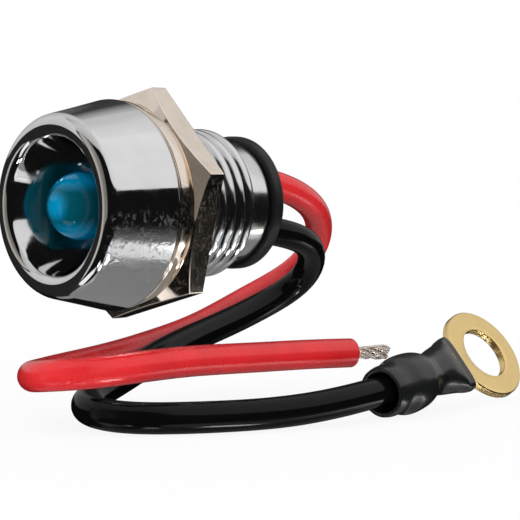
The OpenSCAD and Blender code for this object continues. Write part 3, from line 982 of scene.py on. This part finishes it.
def add_bezel():
    """Head with its rolled rim and reflector bowl, threaded shank and plain neck, of one piece."""
    root = THREAD_R - sizes().thread_depth / MM
    rim = rim_profile()
    bowl_top = rim[0]
    bowl_r = LENS_BORE_R + 0.25
    bowl = []
    for k in range(24):
        t = k / 24
        y = BOWL_FLOOR_Y + (bowl_top[1] - BOWL_FLOOR_Y) * t
        bowl.append((bowl_r + (bowl_top[0] - bowl_r) * t, y + BOWL_DISH * sin(pi * t)))
    front = [(LENS_BORE_R, FLANGE_Y), (LENS_BORE_R, BOWL_FLOOR_Y + 0.12),
             (LENS_BORE_R + 0.12, BOWL_FLOOR_Y)] + bowl + rim
    back = rounded([(HEAD_R - 3 * tan(HEAD_TAPER), -3, 0), (HEAD_R - 0.04, -0.32, 0.3),
                    (HEAD_R - 0.32, 0, 0.12), (root + 0.35, 0, 0), (root, 0.3, 0.1),
                    (root, THREAD_START_Y, 0)], closed=False, steps=6)
    rear = rounded([(root, THREAD_END_Y, 0), (BEZEL_NECK_R + 0.12, THREAD_END_Y + 0.02, 0.06),
                    (BEZEL_NECK_R, THREAD_END_Y + 0.25, 0.15), (BEZEL_NECK_R, NECK_END_Y, 0.12),
                    (CHAMBER_R, NECK_END_Y, 0.08), (CHAMBER_R, LENS_BASE_Y, 0),
                    (FLANGE_BORE_R, LENS_BASE_Y, 0), (FLANGE_BORE_R, FLANGE_Y, 0),
                    (LENS_BORE_R, FLANGE_Y, 0)], closed=False, steps=4)
    points = turned(front + back, BEZEL_SEGMENTS)
    faces = grid_faces(len(front + back), BEZEL_SEGMENTS)
    thread_points, thread_faces = thread_surface(
        THREAD_START_Y, THREAD_END_Y, len(points), THREAD_R, root, sizes().thread_pitch / MM)
    points += thread_points
    faces += thread_faces + grid_faces(len(rear), BEZEL_SEGMENTS, offset=len(points))
    points += turned(rear, BEZEL_SEGMENTS)
    piece = build("chromed_bezel", points, faces, crease=32)
    set_piece(piece, "lamp", chrome(), "chrome", "bezel_body")


def chrome():
    """Bright plating, softer on the shank and mottled low on the head."""
    material, s, shader = start_material("bright_chrome")
    where, place = s.object_place()
    marks = s.group(handling_marks(), scale=500.0, pit_scale=3600.0)
    mottling = s.group(dull_mottling(), scale=2600.0)
    low = s.math("MULTIPLY", s.span(place["Z"], *MOTTLE_TOP, 1.0, 0.0),
                 s.span(place["Z"], *MOTTLE_FOOT))
    low = s.math("MULTIPLY", low, s.span(s.from_axis(place), *MOTTLE_FROM))
    blotch = s.math("MULTIPLY", mottling["Blotch"], low)
    colour = colours().chrome
    tone = s.mix(marks["Smudge"], colour, scaled(colour, 0.95))
    rough = s.math("ADD", s.span(marks["Smudge"], 0.0, 1.0, 0.05, 0.10),
                   s.span(place["Y"], *DULL_FROM_Y, 0.0, 0.08))
    wave = s.bump(s.noise(where, 1400.0, detail=3.0, roughness=0.6), 0.12, 0.02)
    relief = s.math("SUBTRACT", s.math("MULTIPLY", mottling["Height"], low),
                    s.math("MULTIPLY", marks["Pits"], 0.05))
    s.feed(shader, {
        "Base Color": s.mix(blotch, tone, scaled(colour, 0.5)),
        "Roughness": s.math("ADD", rough, s.math("MULTIPLY", blotch, 0.16)),
        "Metallic": s.span(blotch, 0.0, 1.0, 1.0, 0.88),
        "Normal": s.bump(relief, 1.0, 0.016, under=wave)})
    return material


# ---- washer and nut ----


@made_once("materials", "warm_nickel")
def nickel(name):
    """Warm plating of the washer and nut."""
    return metal(name, colours().nickel, 0.05, 0.07, 420.0, 0.25, pit_scale=3000.0, dull=0.92,
                 mottled=0.06)


def add_washer():
    """Plain washer with rounded edges."""
    front, back, inner = WASHER_LO.y + 0.01, WASHER_HI.y, THREAD_R + 0.25
    profile = rounded([(WASHER_HI.x, front, 0.12), (WASHER_HI.x, back, 0.12),
                       (inner, back, 0.06), (inner, front, 0.06)], steps=4)
    piece = build("panel_washer_ring", turned(profile, 128),
                  grid_faces(len(profile), 128, wrap_rows=True), crease=35)
    set_piece(piece, "washer", nickel(), "nickel", "panel_washer")


NUT_TURN = 15
NUT_AF = 16.3
NUT_BORE_R = 6.05
NUT_FACE_R = 7.4
NUT_CHAMFER = radians(28)


def hexagon(across_flats, corner, turn, per_flat=14, per_corner=6):
    """Outline of a hexagon with rounded corners, the first corner at the given angle."""
    reach = (across_flats / 2 - corner) / cos(radians(30))

    def spot(k, share):
        """A point of the arc at one corner, a share of the way along it."""
        a = radians(turn + 60 * k)
        b = a + radians(60) * (share - 0.5)
        return Vector((reach * cos(a) + corner * cos(b), reach * sin(a) + corner * sin(b)))

    points = []
    for k in range(6):
        points += [spot(k, j / per_corner) for j in range(per_corner + 1)]
        here, there = points[-1], spot(k + 1, 0)
        points += [here.lerp(there, j / per_flat) for j in range(1, per_flat)]
    return points


def add_nut():
    """Hexagon nut, chamfered by a cone on the face towards the head and sharp on the other."""
    y0, y1 = NUT_LO.y + 0.01, NUT_HI.y
    lead_in = 0.3
    outline = hexagon(NUT_AF, sizes().nut_corner / MM, NUT_TURN)
    rings = [[] for _ in range(7)]
    for p in outline:
        reach = p.length
        d = p / reach
        section = [(NUT_BORE_R, y0 + lead_in), (NUT_BORE_R + lead_in, y0), (NUT_FACE_R, y0),
                   (reach, y0 + (reach - NUT_FACE_R) * tan(NUT_CHAMFER)), (reach, y1),
                   (NUT_BORE_R + lead_in, y1), (NUT_BORE_R, y1 - lead_in)]
        for ring, (r, y) in zip(rings, section):
            ring.append((d.x * r, y, d.y * r))
    points = [p for ring in rings for p in ring]
    piece = build("hexagon_nut", points, grid_faces(7, len(outline), wrap_rows=True), crease=20)
    soften(piece, 0.07, 18)
    set_piece(piece, "nut", nickel(), "nickel", "hex_nut")


# ---- diode, plug and what the shank hides ----

# Where painted light makes the lens's colour lighter, in metres: away from its middle height, and close
# to its axis
LENS_PAINTED_LIGHT_OUT = (0.0009, 0.0021)
LENS_PAINTED_LIGHT_TIP = (0.0004, 0.0015)


def add_diode():
    """Lens with its dome and flange."""
    r = LENS_HI.x - 0.3
    tip = LENS_LO.y
    profile = [(r * sin(a), tip + r - r * cos(a)) for a in (pi / 2 * k / 24 for k in range(25))]
    profile += [(r, FLANGE_Y - 0.02), (LENS_HI.x - 0.06, FLANGE_Y), (LENS_HI.x, FLANGE_Y + 0.06),
                (LENS_HI.x, LENS_BASE_Y - 0.02), (0, LENS_BASE_Y - 0.02)]
    piece = build("diode_lens_body", turned(profile, 96), grid_faces(len(profile), 96), crease=30)
    set_piece(piece, "lamp", blue_lens(), "lens", "diode_lens")


def blue_lens():
    """Blue epoxy with painted light and shade: deeper blue painted in the middle of the dome, lighter
    blue painted at its tip, top and foot.
    """
    material, s, shader = start_material("blue_epoxy")
    _, place = s.object_place()
    # Painted light: the colour turns from the painted shade of the middle to a lighter blue away from
    # the middle height and near the tip.
    height = s.math("ABSOLUTE", place["Z"])
    light = s.math("MAXIMUM", s.span(height, *LENS_PAINTED_LIGHT_OUT),
                   s.span(s.from_axis(place), *LENS_PAINTED_LIGHT_TIP, 1.0, 0.0))
    grain = s.group(moulded_grain(), grain_scale=2500.0, shade_scale=500.0)
    s.feed(shader, {
        "Base Color": s.mix(light, colours().lens_shaded_middle, colours().lens),
        "Normal": s.bump(grain["Grain"], 0.02, 0.01),
        "Roughness": 0.05, "IOR": 1.5, "Specular IOR Level": 0.2, "Transmission Weight": 0.15})
    return material


def dress_hidden():
    """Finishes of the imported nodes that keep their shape."""
    dress("rear_plug", plastic("moulded_plug", (0.004, 0.004, 0.0045), 0.38, 0.3))
    dress("insulating_bush", plastic("ivory_bush", (0.70, 0.66, 0.55), 0.5, 0.3))
    dress("resistor_body", plastic("lacquered_resistor", (0.46, 0.32, 0.16), 0.45, 0.3))
    sleeve = shrunk_sleeve()
    for node in ("resistor_sleeve", "cathode_sleeve"):
        dress(node, sleeve)
    solder = metal("soft_solder", (0.52, 0.52, 0.53), 0.3, 0.2, 1500.0, 0.4)
    for node in ("anode_solder", "red_lead_solder", "cathode_solder"):
        dress(node, solder)
    for node in ("anode_lead", "cathode_lead", "resistor_front_wire", "resistor_rear_wire",
                 "black_lead_core"):
        dress(node, tinned_copper())


# ---- operators ----


class PILOT_OT_stage(bpy.types.Operator):
    """Camera, pale floor, soft lamps and the tent that the chrome reflects"""

    bl_idname = "pilot.stage"
    bl_label = "Lay the stage"

    def execute(self, context):
        place_camera()
        light_world()
        lay_floor()
        pitch_tent()
        light_studio()
        return {"FINISHED"}


class PILOT_OT_red_lead(bpy.types.Operator):
    """Red lead with its bare, twisted strands"""

    bl_idname = "pilot.red_lead"
    bl_label = "Add the red lead"

    def execute(self, context):
        add_red_lead()
        return {"FINISHED"}


class PILOT_OT_black_lead(bpy.types.Operator):
    """Black lead with its ring terminal and shrunk sleeve"""

    bl_idname = "pilot.black_lead"
    bl_label = "Add the black lead"

    def execute(self, context):
        piece, path, total = add_black_lead()
        terminal = add_ring_terminal()
        sleeve = add_sleeve()
        return {"FINISHED"}


class PILOT_OT_bezel(bpy.types.Operator):
    """Chromed head, reflector bowl, threaded shank and neck"""

    bl_idname = "pilot.bezel"
    bl_label = "Add the bezel"

    def execute(self, context):
        add_bezel()
        return {"FINISHED"}


class PILOT_OT_fastening(bpy.types.Operator):
    """Washer and hexagon nut that clamp the panel"""

    bl_idname = "pilot.fastening"
    bl_label = "Add the washer and nut"

    def execute(self, context):
        add_washer()
        add_nut()
        return {"FINISHED"}


class PILOT_OT_diode(bpy.types.Operator):
    """Blue lens of the light-emitting diode"""

    bl_idname = "pilot.diode"
    bl_label = "Add the diode's lens"

    def execute(self, context):
        add_diode()
        return {"FINISHED"}


class PILOT_OT_hidden_parts(bpy.types.Operator):
    """Finishes of the rear plug and of the parts inside the shank"""

    bl_idname = "pilot.hidden_parts"
    bl_label = "Finish the plug and inner parts"

    def execute(self, context):
        dress_hidden()
        return {"FINISHED"}


class PILOT_PT_sidebar(bpy.types.Panel):
    """Sizes, colours and pieces of the pilot light"""

    bl_idname = "PILOT_PT_sidebar"
    bl_label = "Pilot light"
    bl_space_type = "VIEW_3D"
    bl_region_type = "UI"
    bl_category = "Pilot light"

    def draw(self, context):
        for group in (context.scene.pilot_light_sizes, context.scene.pilot_light_colours):
            for key in group.__annotations__:
                self.layout.prop(group, key)
        for operator in OPERATORS:
            self.layout.operator(operator.bl_idname)


OPERATORS = (PILOT_OT_stage, PILOT_OT_red_lead, PILOT_OT_black_lead, PILOT_OT_bezel,
             PILOT_OT_fastening, PILOT_OT_diode, PILOT_OT_hidden_parts)
CLASSES = (PilotLightSizes, PilotLightColours, *OPERATORS, PILOT_PT_sidebar)


def register():
    """Registers the classes and hangs both settings on the scene."""
    for cls in CLASSES:
        bpy.utils.register_class(cls)
    bpy.types.Scene.pilot_light_sizes = bpy.props.PointerProperty(type=PilotLightSizes)
    bpy.types.Scene.pilot_light_colours = bpy.props.PointerProperty(type=PilotLightColours)


def unregister():
    """Takes both settings off the scene and unregisters the classes."""
    del bpy.types.Scene.pilot_light_colours
    del bpy.types.Scene.pilot_light_sizes
    for cls in reversed(CLASSES):
        bpy.utils.unregister_class(cls)


def main():
    """Registers the classes and runs the operators in order."""
    register()
    for operator in OPERATORS:
        getattr(bpy.ops.pilot, operator.bl_idname.split(".")[1])()


if __name__ == "__main__":
    main()
